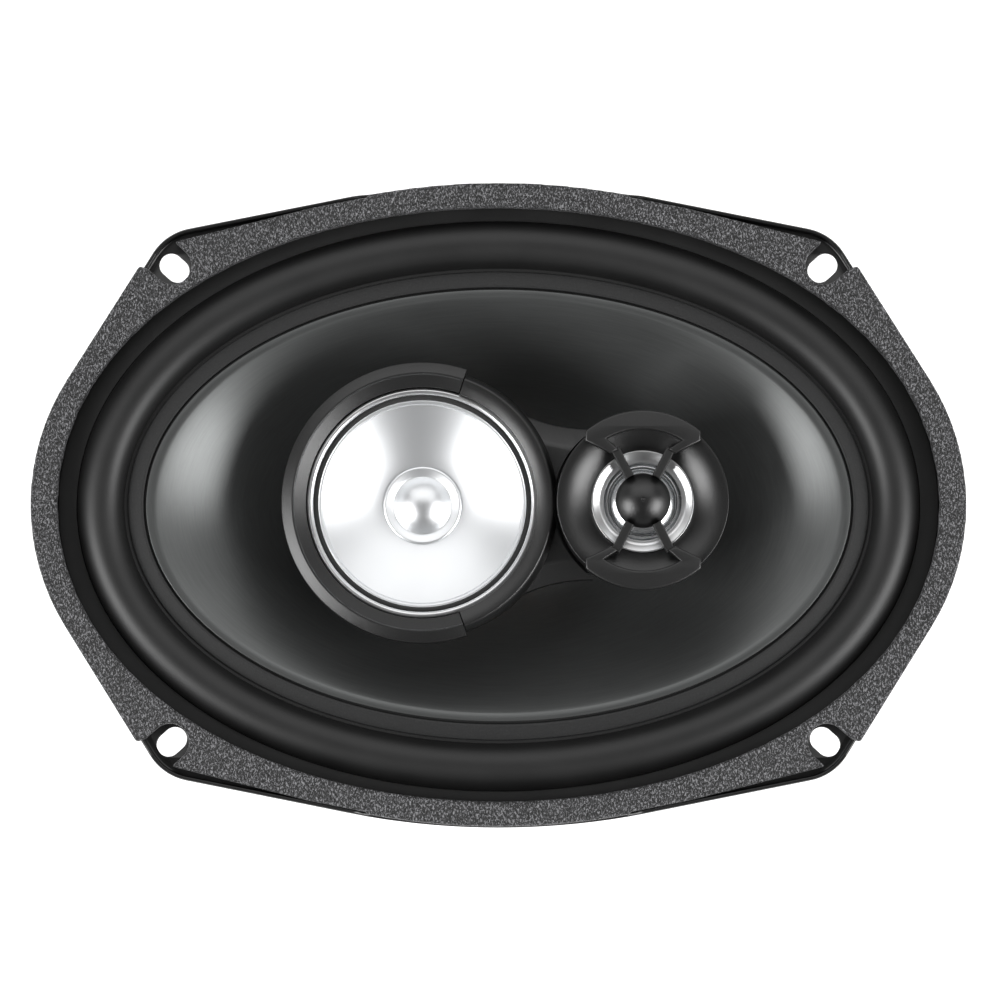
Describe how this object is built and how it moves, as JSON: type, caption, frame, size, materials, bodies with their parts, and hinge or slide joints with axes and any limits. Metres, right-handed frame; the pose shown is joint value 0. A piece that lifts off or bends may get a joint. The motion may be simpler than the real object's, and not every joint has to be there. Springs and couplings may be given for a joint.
{
  "type": "coaxial car speaker",
  "caption": "Oval three-way coaxial car speaker with a sprung cone, a midrange driver and a tweeter on a centre post, slotted fixing corners and spade terminals.",
  "frame": {"origin": "centre of the four fixing slots, on the rear face of the flange", "axes": "+Z along the cone's axis towards the listener, +X along the long side of the oval towards the tweeter, +Y across it"},
  "size_m": [0.237, 0.164, 0.0985],
  "materials": {
    "black_steel": "smooth black paint, half gloss",
    "crepe_gasket": "coarse crepe grain, matt with small sparkles",
    "butyl_rubber": "smooth satin rubber",
    "damper_cloth": "resin-dipped weave",
    "plated_steel": "turned and zinc plated",
    "ferrite": "ground dark grey ceramic",
    "cone_polypropylene": "dark metallic satin with fine streaks",
    "former_film": "amber film",
    "copper_wire": "wound enamelled wire",
    "black_glue": "glossy set adhesive",
    "tinsel_braid": "fine copper braid",
    "fibre_board": "pressed fibre sheet",
    "tinned_brass": "stamped and plated",
    "capacitor_sleeve": "shrunk glossy sleeve",
    "lead_sleeve": "soft black insulation",
    "black_plastic": "moulded satin black",
    "bright_trim": "polished bright ring",
    "edge_foam": "matt foam edge",
    "silver_cone": "satin silver metallised",
    "plated_magnet": "nickel plated",
    "grille_plastic": "moulded satin black, slightly glossier",
    "silver_dome": "thin satin silver film"
  },
  "bodies": {
    "frame": {"basket": "black_steel", "front_gasket": "crepe_gasket", "surround": "butyl_rubber", "spider": "damper_cloth", "top_plate": "plated_steel", "ring_magnet": "ferrite", "back_plate_and_pole": "plated_steel", "basket_rivets": "plated_steel", "centre_post": "plated_steel", "tinsel_leads": "tinsel_braid", "terminal_board": "fibre_board", "terminal_rivets": "tinned_brass", "positive_terminal": "tinned_brass", "negative_terminal": "tinned_brass", "midrange_capacitor": "capacitor_sleeve", "tweeter_capacitor": "capacitor_sleeve", "pod_lead": "lead_sleeve", "pod_bracket": "black_plastic", "bridge_cover": "black_plastic", "bridge_screws": "plated_steel", "midrange_bezel": "black_plastic", "midrange_chassis": "black_plastic", "midrange_trim_ring": "bright_trim", "midrange_surround": "edge_foam", "midrange_pole_plate": "plated_steel", "midrange_magnet": "plated_magnet", "midrange_yoke": "plated_steel", "tweeter_housing": "black_plastic", "tweeter_grille": "grille_plastic", "tweeter_trim_ring": "bright_trim", "tweeter_surround": "silver_dome", "tweeter_pole_plate": "plated_steel", "tweeter_magnet": "plated_magnet", "tweeter_yoke": "plated_steel"},
    "woofer": {"woofer_cone": "cone_polypropylene", "voice_coil_former": "former_film", "voice_coil_winding": "copper_wire", "lead_anchors": "black_glue"},
    "midrange": {"midrange_cone": "silver_cone", "midrange_dust_cap": "silver_cone", "midrange_voice_coil": "copper_wire"},
    "tweeter": {"tweeter_dome": "silver_dome", "tweeter_voice_coil": "copper_wire"}
  },
  "joints": [
    {"name": "woofer_travel", "type": "slide", "parent": "frame", "child": "woofer", "axis": [0, 0, 1], "range_m": [-0.005, 0.005], "stiffness_N_per_m": 1500, "deforming": ["surround", "spider", "tinsel_leads"]},
    {"name": "midrange_travel", "type": "slide", "parent": "frame", "child": "midrange", "axis": [0, 0, 1], "range_m": [-0.0008, 0.0008], "stiffness_N_per_m": 1500, "deforming": ["midrange_surround"]},
    {"name": "tweeter_travel", "type": "slide", "parent": "frame", "child": "tweeter", "axis": [0, 0, 1], "range_m": [-0.0003, 0.0003], "stiffness_N_per_m": 1500, "deforming": ["tweeter_surround"]}
  ]
}
